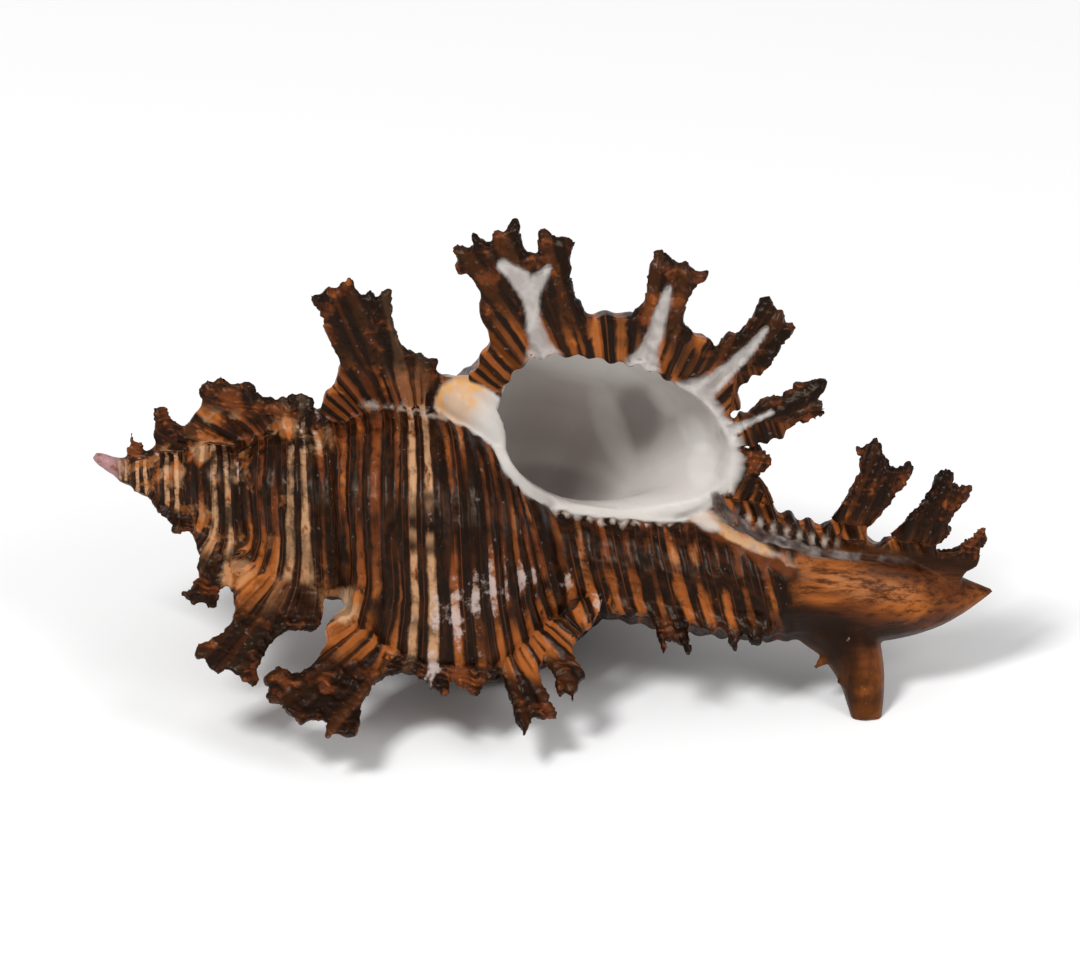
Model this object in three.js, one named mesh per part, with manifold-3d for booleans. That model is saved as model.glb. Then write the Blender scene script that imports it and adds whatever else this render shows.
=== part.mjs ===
// A murex shell with leafy fronds, 90 mm from the tip of its spire to the tip of its canal.
// It grew as one piece, so it is one solid: whorls, varices, fronds and canals joined, with the
// body chamber cut into them. It lies on the last whorl's belly, the old canal's tip and the frond
// tips of the varix before the lip, with the lip up.
//
// Shell frame while modelling: the spire's tip is the origin, +X runs along the axis to the canal,
// +Y is up in the aperture's view and +Z comes out of the aperture towards the eye.
// Sizes are given at the lip. The shell is a log spiral, so a place `degrees` before the lip has
// the same sizes times spiralScale(degrees).
import * as THREE from "three";
import { mergeVertices } from "three/addons/utils/BufferGeometryUtils.js";
import Module from "manifold-3d";

const wasm = await Module();
wasm.setup();

// Driving dimensions, in millimetres and degrees.
const WHORL_GROWTH = 1.6; // size gained in one turn
const WHORLS = 5; // turns from the spire's tip to the lip
const LIP_ANGLE = 30; // the lip's place round the axis, from +Y towards +Z
const VARIX_STEP = 120; // three varices to a turn
const STEPS_PER_TURN = 30;
const VARIX_HEIGHT = 3.4; // the varix crest above the whorl
const VARIX_RISE = 40; // degrees over which a whorl swells up to its varix
const CHAMBER_DEPTH = 225; // degrees that the body chamber runs back from the lip
const CHAMBER_TAPER = 0.78; // what is left of the chamber's section at its end
const AXIS_DIP = 8; // the axis slopes down towards the canal
const LEAN = 62; // the aperture's face leans back from straight up, as the shell stands
const BELLY_WEAR = 0.5; // what is worn flat off the last whorl where it touches the ground

// The whorl's outline at the lip, as [along the axis, out from it].
const SUTURE = [35.5, 13.2];
const LOWER_SUTURE = SUTURE.map((size) => size * WHORL_GROWTH);
const WHORL_OUTLINE = [SUTURE, [38.6, 16.8], [43, 19.9], [50, 21.6], LOWER_SUTURE];
const BASE_OUTLINE = [LOWER_SUTURE, [61, 18.2], [64.5, 13.6], [68, 9], [74, 0]];
// How much of the varix's swelling each point of the two outlines takes.
const SWELL_SHARES = [0, 1, 1, 1, 1, 0.7, 0.25, 0, 0];

// The aperture's rim at the lip, from its back notch along the outer lip, and back along the columella.
const APERTURE_RIM = [
  [38.7, 13.2], [42.5, 18.6], [48.4, 19.3], [53.4, 19.2], [57.7, 16.9], [60.6, 13.9],
  [62, 10.1], [60.8, 7.1], [55.2, 4.9], [50.3, 3.7], [45.3, 4], [42, 6.4], [39.6, 10.8],
];

// The canal's section centres, as [x, y, z, radius], from inside the base to its tip.
const CANAL = [
  [51, -1.6, -1, 4], [58, -2.1, -0.5, 5.8], [65, -1.5, 0, 6.1], [71, -1.5, -0.2, 5.8], [76, -1.6, -0.6, 5.1],
  [80.5, -1.4, -1.2, 4.3], [86, -0.6, -2.2, 2.6], [89.8, 0.1, -3, 0.4],
];
const CANAL_SIDES = 12;
// The canal of an earlier growth stage, which bends down behind the present one.
const OLD_CANAL = [
  [72, -2.5, -0.2, 4.4], [75.6, -6, -0.2, 3.1], [78, -9.8, 0.1, 2.1], [79, -14.2, 0.6, 1.4],
];
const OLD_CANAL_SIDES = 8;
// The slit that opens the canal to the front, as [x, y, z], with its half width and depth.
const CANAL_SLIT = [[59.5, 4.6, 7.6], [64, 3.6, 6.3], [70.5, 2.1, 5.2], [78, 1.6, 3.8], [84, 1.2, 1.6]];
const SLIT_HALF_WIDTH = 0.7;
const SLIT_DEPTH = 1.6;

// Fronds, by the varix that they grow on. Each has its root on the varix crest, at [s along the
// axis, r out], and its tip, which lies `along` and `out` from the root and `curl` back from the lip.
// `width` is the stem's, `spread` the tip's, and `prongs` how many points the tip has.
const LIP_FRONDS = [
  { s: 39.6, r: 19.4, along: -3.6, out: 9.2, curl: 2.6, width: 5.6, spread: 8, prongs: 4 },
  { s: 43.8, r: 21, along: -1.2, out: 9.4, curl: 2.4, width: 5.4, spread: 5, prongs: 2 },
  { s: 53.6, r: 22.2, along: 1.3, out: 8.2, curl: 2.3, width: 4.6, spread: 5, prongs: 3 },
  { s: 58.6, r: 19.1, along: 6.6, out: 7.3, curl: 2, width: 4.6, spread: 4.2, prongs: 3 },
  { s: 61.4, r: 12.8, along: 8.9, out: 6.4, curl: 1.7, width: 4.2, spread: 2.8, prongs: 2 },
  { s: 62.2, r: 9.4, along: 4, out: 1.4, curl: 0.4, width: 2.2, spread: 1.2, prongs: 1 },
];
const CANAL_FRONDS = [
  { s: 74.4, r: 3.2, along: 2.2, out: 9.6, curl: 2.4, width: 4.2, spread: 3, prongs: 3 },
  { s: 76.4, r: 7.4, along: 4.2, out: 4.4, curl: 1.2, width: 2.6, spread: 1.6, prongs: 1 },
  { s: 80.4, r: 2.8, along: 3.1, out: 7.8, curl: 2, width: 3.6, spread: 2.8, prongs: 3 },
  { s: 84.6, r: 1.6, along: 3.6, out: 4.2, curl: 1, width: 2.4, spread: 1.4, prongs: 2 },
];
const BACK_VARIX_FRONDS = [
  { s: 39.6, r: 19.4, along: -3.6, out: 13.4, curl: 2.2, width: 5.6, spread: 8, prongs: 4 },
  { s: 44.2, r: 21, along: -1, out: 13, curl: 2.2, width: 5.4, spread: 5, prongs: 2 },
  { s: 53.6, r: 22.2, along: 1.3, out: 12, curl: 2, width: 4.6, spread: 5, prongs: 3 },
  { s: 60, r: 18.6, along: 5, out: 7.3, curl: 2, width: 4.6, spread: 4.2, prongs: 3 },
  { s: 64, r: 13, along: 6, out: 6.4, curl: 1.7, width: 4.2, spread: 2.8, prongs: 2 },
];
const LEFT_VARIX_FRONDS = [
  { s: 39, r: 21.3, along: -5, out: 14.4, curl: 4, width: 8, spread: 6.4, prongs: 3 },
  { s: 40.6, r: 22.7, along: -1.2, out: 14.2, curl: 4, width: 7, spread: 3.4, prongs: 2 },
  { s: 50.4, r: 23, along: 1.4, out: 4.6, curl: 1.4, width: 3, spread: 1, prongs: 1 },
  { s: 55.8, r: 22.5, along: 0, out: 4.2, curl: 1.2, width: 4, spread: 2, prongs: 1 },
  { s: 61, r: 20.9, along: 3.6, out: 10.4, curl: 2.9, width: 5, spread: 5, prongs: 2 },
  { s: 65.9, r: 17.7, along: 3.2, out: 8, curl: 2.2, width: 4, spread: 4, prongs: 2 },
  { s: 80.7, r: 10, along: 1.4, out: 6.4, curl: 1.6, width: 4.6, spread: 4, prongs: 2 },
  { s: 88, r: 9.6, along: 1.3, out: 4.6, curl: 1, width: 3.4, spread: 2.6, prongs: 2 },
];
// On the spire each varix keeps one broad shoulder frond. Varices are counted back from the lip, 0.
const SPIRE_FRONDS = [
  { varix: 3, s: 43.6, r: 21.5, along: -6.6, out: 13, curl: 3.6, width: 9.4, spread: 10.4, prongs: 5 },
  { varix: 4, s: 42.5, r: 21.5, along: -6.4, out: 14, curl: 3.6, width: 9, spread: 9, prongs: 4 },
  { varix: 5, s: 43.6, r: 21.5, along: -8.6, out: 26, curl: 5, width: 12, spread: 13, prongs: 4 },
  { varix: 5, s: 49, r: 21, along: -1, out: 11, curl: 2.6, width: 18, spread: 14, prongs: 1 },
  { varix: 6, s: 38.4, r: 18, along: -8, out: 9.2, curl: 3, width: 14, spread: 13.4, prongs: 4 },
  { varix: 7, s: 42, r: 21, along: -6, out: 12, curl: 3.6, width: 9, spread: 9, prongs: 3 },
  { varix: 8, s: 46, r: 20.5, along: -4.6, out: 28, curl: 5, width: 13, spread: 9, prongs: 3 },
  { varix: 9, s: 30, r: 14, along: -3, out: 13, curl: 3, width: 7, spread: 6, prongs: 2 },
  { varix: 10, s: 42, r: 20, along: -5, out: 10, curl: 3, width: 9, spread: 9, prongs: 2 },
  { varix: 11, s: 48, r: 19, along: 3, out: 16, curl: 3, width: 15, spread: 14, prongs: 2 },
  { varix: 12, s: 29, r: 9, along: -4.5, out: 13, curl: 2, width: 7, spread: 4, prongs: 1 },
  { varix: 14, s: 38, r: 12, along: -3, out: 9, curl: 2, width: 9, spread: 7, prongs: 1 },
];

const STEM_STATIONS = [0, 0.4, 0.75, 1];
const STEM_SINK = 2.5; // how far a root reaches into the varix
const NECK_SHARE = 0.78; // the stem's width half way up, of its width at the root
const STEM_THICKNESS = 0.32; // of the stem's width
const PRONG_LENGTH = 2.1;
const PRONG_FAN = 0.75; // how far the outer prongs lean out

const radians = THREE.MathUtils.degToRad;
const AXIS = new THREE.Vector3(1, 0, 0);

function spiralScale(degrees) {
  return WHORL_GROWTH ** (degrees / 360);
}

// Directions out from the axis and forward round it, at a place on the spiral.
function outward(degrees) {
  const angle = radians(LIP_ANGLE + degrees);
  return new THREE.Vector3(0, Math.cos(angle), Math.sin(angle));
}

function forward(degrees) {
  return outward(degrees + 90);
}

function spiralPoint([s, r], degrees) {
  const scale = spiralScale(degrees);
  return AXIS.clone().multiplyScalar(s * scale).addScaledVector(outward(degrees), r * scale);
}

// How swollen the whorl is: 1 on a varix crest, rising slowly before it and dropping at once after.
function varixSwell(degrees) {
  const toNext = THREE.MathUtils.euclideanModulo(-degrees, VARIX_STEP);
  return 1 - THREE.MathUtils.smoothstep(toNext, 0, VARIX_RISE);
}

// A closed solid from positions and triangle indices.
function solidFrom(points, triangles) {
  const geometry = new THREE.BufferGeometry().setFromPoints(points).setIndex(triangles);
  return solidOf(geometry);
}

function solidOf(geometry) {
  geometry.deleteAttribute("normal");
  geometry.deleteAttribute("uv");
  const merged = mergeVertices(geometry, 1e-4);
  const made = new wasm.Manifold(
    new wasm.Mesh({
      numProp: 3,
      vertProperties: merged.attributes.position.array,
      triVerts: new Uint32Array(merged.index.array),
    }),
  );
  if (made.volume() >= 0) return made;
  const turned = merged.index.array.slice().reverse();
  return new wasm.Manifold(
    new wasm.Mesh({
      numProp: 3,
      vertProperties: merged.attributes.position.array,
      triVerts: new Uint32Array(turned),
    }),
  );
}

function geometryOf(solid) {
  const mesh = solid.getMesh();
  return new THREE.BufferGeometry()
    .setAttribute("position", new THREE.BufferAttribute(mesh.vertProperties, 3))
    .setIndex(new THREE.BufferAttribute(mesh.triVerts, 1));
}

// A solid through rings of points, all of one count, closed by a fan at each end.
function loft(rings) {
  const sides = rings[0].length;
  const triangles = [];
  for (let ring = 0; ring + 1 < rings.length; ring++)
    for (let side = 0; side < sides; side++) {
      const a = ring * sides + side;
      const b = ring * sides + ((side + 1) % sides);
      triangles.push(a, b, a + sides, b, b + sides, a + sides);
    }
  const last = (rings.length - 1) * sides;
  for (let side = 1; side + 1 < sides; side++)
    triangles.push(0, side + 1, side, last, last + side, last + side + 1);
  return solidFrom(rings.flat(), triangles);
}

// The whorls: one strip from suture to suture wound from the spire's tip to the lip. Each turn's
// lower edge is the next turn's upper edge, and the last turn also has the base, down to the axis.
function whorls() {
  const points = [];
  const triangles = [];
  const columns = WHORLS * STEPS_PER_TURN;
  const lastTurn = columns - STEPS_PER_TURN;
  const bandRows = WHORL_OUTLINE.length - 1;
  const allRows = bandRows + BASE_OUTLINE.length - 1;
  const outline = [...WHORL_OUTLINE, ...BASE_OUTLINE.slice(1)];
  const indexOf = new Map();

  function vertex(column, row) {
    if (row === bandRows && column <= lastTurn) return vertex(column + STEPS_PER_TURN, 0);
    const key = column * (allRows + 1) + row;
    if (!indexOf.has(key)) {
      const degrees = ((column - columns) * 360) / STEPS_PER_TURN;
      const [s, r] = outline[row];
      const swell = SWELL_SHARES[row] * VARIX_HEIGHT * varixSwell(degrees);
      indexOf.set(key, points.length);
      points.push(spiralPoint([s, r + swell], degrees));
    }
    return indexOf.get(key);
  }

  for (let column = 0; column < columns; column++) {
    const rows = column >= lastTurn ? allRows : bandRows;
    for (let row = 0; row < rows; row++) {
      const a = vertex(column, row);
      const b = vertex(column + 1, row);
      const c = vertex(column, row + 1);
      const d = vertex(column + 1, row + 1);
      triangles.push(a, c, b, b, c, d);
    }
  }

  // The spire's tip closes the first turn, and the lip's flat face closes the last.
  const tip = points.length;
  points.push(new THREE.Vector3(0.4, 0, 0));
  for (let column = 0; column < STEPS_PER_TURN; column++)
    triangles.push(tip, vertex(column, 0), vertex(column + 1, 0));
  for (let row = 0; row < bandRows; row++) triangles.push(tip, vertex(0, row + 1), vertex(0, row));

  const face = [];
  for (let row = 0; row <= allRows; row++) face.push(vertex(columns, row));
  for (let column = columns - 1; column >= lastTurn; column--) face.push(vertex(column, allRows));
  for (let row = allRows - 1; row > bandRows; row--) face.push(vertex(lastTurn, row));
  const out = outward(0);
  const flat = face.map((i) => new THREE.Vector2(points[i].x, points[i].dot(out)));
  for (const [a, b, c] of THREE.ShapeUtils.triangulateShape(flat, []))
    triangles.push(face[a], face[c], face[b]);
  return solidFrom(points, triangles);
}

// The body chamber: the aperture's rim wound back into the shell, narrowing to a round end.
function chamber() {
  const middle = APERTURE_RIM.reduce(
    (sum, [s, r]) => [sum[0] + s / APERTURE_RIM.length, sum[1] + r / APERTURE_RIM.length],
    [0, 0],
  );
  const rings = [];
  for (const share of [-0.03, 0, 0.12, 0.26, 0.4, 0.55, 0.7, 0.85, 0.95, 1]) {
    const roundEnd = share > 0.9 ? 0.72 - 3 * (share - 0.95) : 1;
    const size = THREE.MathUtils.lerp(1, CHAMBER_TAPER, Math.max(share, 0)) * roundEnd;
    rings.push(
      APERTURE_RIM.map(([s, r]) =>
        spiralPoint(
          [middle[0] + (s - middle[0]) * size, middle[1] + (r - middle[1]) * size],
          -share * CHAMBER_DEPTH,
        ),
      ),
    );
  }
  return loft(rings);
}

// A round tube through section centres [x, y, z, radius].
function tube(sections, sides) {
  const centres = sections.map(([x, y, z]) => new THREE.Vector3(x, y, z));
  const curve = new THREE.CatmullRomCurve3(centres);
  const rings = sections.map(([, , , radius], i) => {
    const along = curve.getTangent(i / (sections.length - 1));
    const across = new THREE.Vector3(0, 0, 1).cross(along).normalize();
    const up = along.clone().cross(across);
    return Array.from({ length: sides }, (_, side) => {
      const angle = (2 * Math.PI * side) / sides;
      return centres[i]
        .clone()
        .addScaledVector(across, radius * Math.cos(angle))
        .addScaledVector(up, radius * Math.sin(angle));
    });
  });
  return loft(rings);
}

// The groove that the canal's slit leaves along its front.
function canalSlit() {
  const rings = CANAL_SLIT.map(([x, y, z]) =>
    [[SLIT_HALF_WIDTH, 2], [0, -SLIT_DEPTH], [-SLIT_HALF_WIDTH, 2]].map(
      ([across, out]) => new THREE.Vector3(x, y + across, z + out),
    ),
  );
  return loft(rings);
}

// A frond: a stem with a shallow groove on its forward face, and a tip that splits into prongs.
function frond({ s, r, along, out, curl, width, spread, prongs }, degrees) {
  const scale = spiralScale(degrees);
  const root = spiralPoint([s, r], degrees);
  const radial = outward(degrees);
  const round = forward(degrees);
  const reach = (a, o, c) =>
    root
      .clone()
      .addScaledVector(AXIS, a * scale)
      .addScaledVector(radial, o * scale)
      .addScaledVector(round, -c * scale);
  const path = new THREE.QuadraticBezierCurve3(
    reach(-0.1 * along, -STEM_SINK, 0),
    reach(0.35 * along, 0.55 * out, 0.15 * curl),
    reach(along, out, curl),
  );

  const widths = [width, width * NECK_SHARE, (width * NECK_SHARE + spread) / 2, spread];
  const frameAt = (t) => {
    const tangent = path.getTangent(t);
    const across = tangent.clone().cross(round).normalize();
    return { tangent, across, back: tangent.clone().cross(across) };
  };
  const stem = STEM_STATIONS.map((t, i) => {
    const { across, back } = frameAt(t);
    const half = (widths[i] * scale) / 2;
    const thick = width * STEM_THICKNESS * scale * (1 - 0.45 * t);
    const corners = [[0, 0.15], [1, -0.35], [0.55, 0.75], [-0.55, 0.75], [-1, -0.35]];
    return corners.map(([x, y]) =>
      path.getPoint(t).addScaledVector(across, x * half).addScaledVector(back, y * thick),
    );
  });

  const solids = [loft(stem)];
  const { tangent, across, back } = frameAt(1);
  const foot = path.getPoint(0.86);
  for (let prong = 0; prong < prongs; prong++) {
    const side = prongs === 1 ? 0 : (2 * prong) / (prongs - 1) - 1;
    const half = (spread * scale * 0.9) / Math.max(prongs, 1.6) / 2;
    const thick = width * STEM_THICKNESS * scale * 0.4;
    const centre = foot.clone().addScaledVector(across, side * (spread * scale * 0.5 - half));
    const point = path
      .getPoint(1)
      .addScaledVector(across, side * (spread * scale * 0.5 - half))
      .addScaledVector(tangent, PRONG_LENGTH * scale)
      .addScaledVector(across, side * PRONG_FAN * PRONG_LENGTH * scale)
      .addScaledVector(back, 0.3 * PRONG_LENGTH * scale);
    const base = [[1, 0.2], [0, 1], [-1, 0.2], [0, -0.4]].map(([x, y]) =>
      centre.clone().addScaledVector(across, x * half).addScaledVector(back, y * thick),
    );
    solids.push(solidFrom([...base, point], [0, 1, 4, 1, 2, 4, 2, 3, 4, 3, 0, 4, 0, 2, 1, 0, 3, 2]));
  }
  return solids;
}

function fronds() {
  const backVarix = BACK_VARIX_FRONDS.map((one) => [one, -VARIX_STEP]);
  const leftVarix = LEFT_VARIX_FRONDS.map((one) => [one, -2 * VARIX_STEP]);
  const lip = [...LIP_FRONDS, ...CANAL_FRONDS].map((one) => [one, 0]);
  const spire = SPIRE_FRONDS.map((one) => [one, -one.varix * VARIX_STEP]);
  return [...lip, ...backVarix, ...leftVarix, ...spire].flatMap(([one, degrees]) => frond(one, degrees));
}

// The whole shell, in its own frame.
function shell() {
  const outside = [whorls(), tube(CANAL, CANAL_SIDES), tube(OLD_CANAL, OLD_CANAL_SIDES), ...fronds()];
  return outside
    .reduce((joined, piece) => joined.add(piece))
    .subtract(chamber())
    .subtract(canalSlit());
}

// The ground touches the last whorl's belly and cuts the tips that reach as far, which are worn flat
// there. The middle of the footprint comes to the origin.
function standing(solid) {
  const pose = new THREE.Matrix4()
    .makeRotationX(radians(LEAN))
    .multiply(new THREE.Matrix4().makeRotationZ(radians(-AXIS_DIP)));
  const belly = geometryOf(whorls()).applyMatrix4(pose);
  belly.computeBoundingBox();
  const geometry = geometryOf(solid).applyMatrix4(pose);
  geometry.translate(0, 0, -belly.boundingBox.min.z - BELLY_WEAR);
  const ground = new THREE.BoxGeometry(400, 400, 20).translate(0, 0, -10);
  const rested = geometryOf(solidOf(geometry).subtract(solidOf(ground)));
  rested.computeBoundingBox();
  const { min, max } = rested.boundingBox;
  return rested.translate(-(min.x + max.x) / 2, -(min.y + max.y) / 2, -min.z);
}

const material = new THREE.MeshStandardMaterial({ color: 0x4a2411, roughness: 0.42, metalness: 0 });
const mesh = new THREE.Mesh(standing(shell()), material);
mesh.name = "shell";
const part = new THREE.Group();
part.add(mesh);

export default part;
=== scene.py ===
import bpy
import math
import numpy as np
from mathutils import Matrix, Vector, noise
from mathutils.bvhtree import BVHTree


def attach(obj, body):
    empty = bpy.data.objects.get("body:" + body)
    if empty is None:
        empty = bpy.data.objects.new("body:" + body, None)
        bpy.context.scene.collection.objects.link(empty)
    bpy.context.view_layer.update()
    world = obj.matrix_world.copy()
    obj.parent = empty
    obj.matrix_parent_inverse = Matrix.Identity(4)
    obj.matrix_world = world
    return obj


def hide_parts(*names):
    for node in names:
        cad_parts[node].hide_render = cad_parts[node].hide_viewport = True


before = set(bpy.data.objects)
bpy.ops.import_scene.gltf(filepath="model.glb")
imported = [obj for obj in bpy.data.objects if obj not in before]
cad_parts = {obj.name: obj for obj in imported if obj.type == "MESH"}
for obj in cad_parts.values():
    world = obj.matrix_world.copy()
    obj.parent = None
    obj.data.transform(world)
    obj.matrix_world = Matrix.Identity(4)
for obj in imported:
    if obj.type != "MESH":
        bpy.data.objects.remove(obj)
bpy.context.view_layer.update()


# The whorls. The animal built its shell at the lip, turn over turn, each turn larger than the last
# by the same share, so every turn is the lip's outline made smaller and turned back about the axis.
# Sizes are millimetres at the lip; the spire's tip is the origin and the axis runs along +X.
WHORL_GROWTH = 1.6
LIP_ANGLE = 30
VARIX_STEP = 120
VARIX_HEIGHT = 3.4
VARIX_RISE = 26
STEP_DOWN = 2.6
STEP_FADE = 62
LIP_TUCK = 2.6
LIP_TUCK_FADE = 70
STEPS_PER_TURN = 45
TURNS = 6

# [along the axis, out from it, how much of a varix's swelling this place takes]
WHORL_OUTLINE = [
    (35.5, 13.2, 0), (36.8, 15.2, 0.5), (38.6, 16.9, 1), (40.7, 18.5, 1), (43, 19.8, 1), (46.4, 21, 1),
    (50, 21.6, 1), (53.5, 21.6, 1), (56.8, 21.1, 1), (59.2, 19.9, 1), (61.2, 18, 0.85),
    (63, 15.7, 0.65), (64.7, 13.3, 0.45), (66.4, 11, 0.25), (68.2, 8.8, 0.1), (70, 6.6, 0),
    (69, 3.6, 0), (62, 2.6, 0), (54, 1.4, 0), (46, 2, 0), (40, 5.4, 0), (36.6, 9.8, 0),
]


def spiral_scale(degrees):
    return WHORL_GROWTH ** (degrees / 360)


def on_spiral(along, out, degrees, forward=0):
    """A place given at the lip's size, taken to where the shell was `degrees` before the lip."""
    turn = math.radians(LIP_ANGLE + degrees)
    scale = spiral_scale(degrees)
    return Vector((
        along * scale,
        (out * math.cos(turn) - forward * math.sin(turn)) * scale,
        (out * math.sin(turn) + forward * math.cos(turn)) * scale,
    ))


def ease(share):
    share = min(1, max(0, share))
    return share * share * (3 - 2 * share)


def varix_rise(degrees):
    """How far the outline stands out: rising to a crest at each varix, with a step down behind it."""
    before = -degrees % VARIX_STEP
    after = degrees % VARIX_STEP
    down = ease(1 - after / STEP_FADE) if after > 0 else 0
    return VARIX_HEIGHT * ease(1 - before / VARIX_RISE) - STEP_DOWN * down


def skin(name, rings):
    """A closed surface through rings of points: a grid rolled up, its seam merged, its ends filled."""
    around = len(rings[0])
    bpy.ops.object.select_all(action="DESELECT")
    bpy.ops.mesh.primitive_grid_add(x_subdivisions=around, y_subdivisions=len(rings) - 1)
    piece = bpy.context.object
    piece.name = name
    for row, ring in enumerate(rings):
        for column in range(around + 1):
            piece.data.vertices[row * (around + 1) + column].co = ring[column % around]
    bpy.ops.object.mode_set(mode="EDIT")
    bpy.ops.mesh.select_all(action="SELECT")
    bpy.ops.mesh.remove_doubles(threshold=1e-4)
    bpy.ops.mesh.fill_holes(sides=0)
    bpy.ops.mesh.select_all(action="SELECT")
    bpy.ops.mesh.normals_make_consistent(inside=False)
    bpy.ops.object.mode_set(mode="OBJECT")
    return piece


whorl_stops = []
for step in range(TURNS * STEPS_PER_TURN + 1):
    degrees = -step * 360 // STEPS_PER_TURN
    if step and degrees % VARIX_STEP == 0:
        whorl_stops.append(degrees + 1.5)
    whorl_stops.append(degrees)
whorl_rings = []
for degrees in whorl_stops:
    tuck = LIP_TUCK * ease(1 + degrees / LIP_TUCK_FADE)
    whorl_rings.append([
        on_spiral(s - tuck * ease((s - 60) / 5), r + varix_rise(degrees) * share, degrees)
        for s, r, share in WHORL_OUTLINE
    ])
whorls = skin("whorls", whorl_rings)


# The canals. The neck below the last whorl draws out into the tube that held the animal's siphon;
# an older tube, left behind when the canal moved on, bends down beside it. The first tiny whorls
# at the spire's tip are smooth and glassy. All are one growth with the whorls.
def tube(name, sections, cyclic=False):
    """A round tube along a smooth path of sections [x, y, z, radius]."""
    bpy.ops.object.select_all(action="DESELECT")
    bpy.ops.curve.primitive_nurbs_path_add()
    path = bpy.context.object
    path.name = name
    path.data.splines.clear()
    spline = path.data.splines.new("NURBS")
    spline.points.add(len(sections) - 1)
    for point, (x, y, z, radius) in zip(spline.points, sections):
        point.co = (x, y, z, 1)
        point.radius = radius
    spline.order_u = 3
    spline.resolution_u = 6
    spline.use_endpoint_u = True
    spline.use_cyclic_u = cyclic
    path.data.bevel_depth = 1
    path.data.bevel_resolution = 4
    path.data.use_fill_caps = True
    bpy.ops.object.convert(target="MESH")
    piece = bpy.context.object
    bpy.ops.object.mode_set(mode="EDIT")
    bpy.ops.mesh.select_all(action="SELECT")
    bpy.ops.mesh.remove_doubles(threshold=1e-4)
    bpy.ops.mesh.normals_make_consistent(inside=False)
    bpy.ops.object.mode_set(mode="OBJECT")
    return piece


neck = tube("neck", [
    (42, -1.6, 0.2, 4.4), (48, -2.3, 0.2, 5.2), (54, -2.7, 0, 5.4), (60, -2.6, -0.2, 5.8),
    (66, -1.9, 0, 6.3), (70.5, -1.6, -0.1, 6.3), (72.6, -1.6, -0.2, 5.2),
])
canal = tube("canal", [
    (60, -1.6, -0.2, 5), (66, -1.3, 0, 5.8), (71, -1.6, -0.2, 5.8), (76, -1.7, -0.6, 5.5),
    (80.5, -1.5, -1.2, 4.8), (84.5, -1.2, -1.7, 3.4), (87.4, -0.7, -1.9, 1.7), (90, 0.1, -1.9, 0.2),
])
old_canal = tube("old_canal", [
    (70, -2, -0.3, 4), (74.9, -4.6, -0.3, 4), (77.4, -8, -0.1, 2.8), (78.8, -11.2, 0.2, 2.1),
    (79.4, -14.4, 0.6, 1.5),
])
old_canal_spines = [
    tube("old_canal_spine", [(78, -8.6, 0.6, 1), (77, -10, 0.8, 0.8), (75.9, -11.3, 0.9, 0.15)]),
    tube("old_canal_spine", [(76.2, -6.6, 0.6, 1.2), (74.9, -8.4, 0.7, 0.9), (73.5, -10, 0.8, 0.15)]),
]
first_whorls = tube("first_whorls", [
    (0, 0.9, 0, 0.35), (0.5, 0.8, 0, 0.65), (1.4, 0.5, 0, 0.75), (2.6, 0.1, 0, 1), (4.6, 0, 0, 1.4),
])


# The fronds. Each varix, where growth paused, threw out leafy blades along its crest. A blade is a
# thin plate in the varix's plane, curled back from the lip, and its edge is torn into points.
# Outlines are [along the axis, out from it] at the lip's size, from root to root round the tip.
LIP_FRONDS = {
    "shoulder": (3, 21, [
        (38.5, 15), (35.8, 15.6), (37.1, 19.2), (37.1, 21.3), (36.1, 22.9), (35.5, 25.6), (34.4, 26.8),
        (33.1, 26.6), (32.7, 27.4), (33.3, 28), (32.3, 28.9), (33.5, 29.2), (34.4, 29.2), (34.1, 30.7),
        (35.1, 29.9), (36.3, 30.2), (36, 31), (37.2, 31), (37.6, 31.9), (38.3, 32.4), (39, 30.3),
        (39.5, 29.5), (40.1, 29.3), (40.6, 29.7), (40.6, 31.7), (41.4, 31.6), (42.6, 31.2),
        (44.4, 31.2), (43.9, 29.6), (44.2, 27.7), (45.1, 25.5), (46.5, 24.2), (46.5, 20),
    ]),
    "outer": (2.6, 22, [
        (51, 20), (51.1, 25), (51.7, 26.6), (51.8, 27.8), (51.7, 29.4), (52.2, 30.4), (52, 31.3),
        (53.1, 31.5), (54, 30.5), (55.4, 30.8), (55.8, 30), (57.8, 30), (56.6, 28.7), (56.1, 27.3),
        (55.9, 25.4), (55.9, 23.1), (57.5, 22), (57.5, 19.5),
    ]),
    "lower": (2.4, 20, [
        (57, 19), (58.3, 21.8), (59.4, 22.4), (60.2, 23.9), (61.5, 24.4), (62.6, 26.5), (62.8, 27.9),
        (64, 27.8), (64.3, 27.1), (65.5, 27), (65.4, 26.1), (66.9, 25.8), (65.7, 24.1), (65.7, 23.3),
        (64.9, 21.5), (62.7, 19.7), (62.1, 18.1), (62.6, 16.5), (60, 15),
    ]),
    "base": (2, 15, [
        (61.5, 14.5), (63.2, 15.8), (65, 17.6), (66.3, 17.8), (67.9, 19.4), (68.9, 19.6), (70.1, 20.2),
        (71, 19.2), (69.9, 18.3), (71, 17.1), (69.2, 16.2), (68, 15.7), (67.3, 14.1), (64.9, 12.8),
        (62, 12),
    ]),
}
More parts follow.
